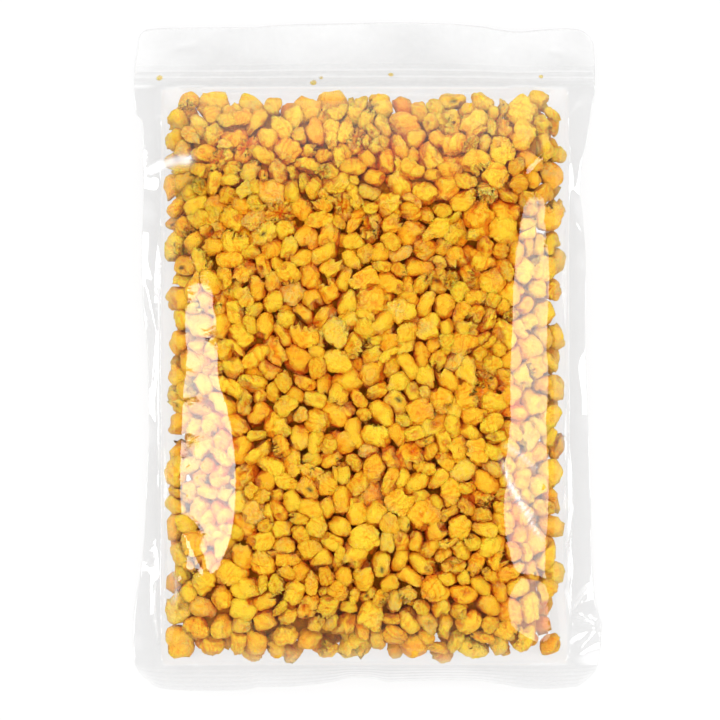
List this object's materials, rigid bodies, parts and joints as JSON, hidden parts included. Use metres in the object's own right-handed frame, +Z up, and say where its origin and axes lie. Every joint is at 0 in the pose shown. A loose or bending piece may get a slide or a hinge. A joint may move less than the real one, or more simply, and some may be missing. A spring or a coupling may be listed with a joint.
{
  "type": "frozen vegetable bag",
  "caption": "Clear flat pouch packed full of golden sweetcorn kernels, with welded margins, a ribbed foot seal and a press-to-close zip under its top edge, lying on its back.",
  "frame": {"origin": "on the surface that the pouch lies on, under the middle of its outline", "axes": "+X across the pouch to the right as seen from its front, +Y from its foot to its zip, +Z up out of its front face"},
  "size_m": [0.1834, 0.2608, 0.0328],
  "materials": {
    "sweetcorn": "satin",
    "clear_film": "gloss"
  },
  "bodies": {
    "root": {"filled_pouch": "sweetcorn"}
  },
  "joints": []
}
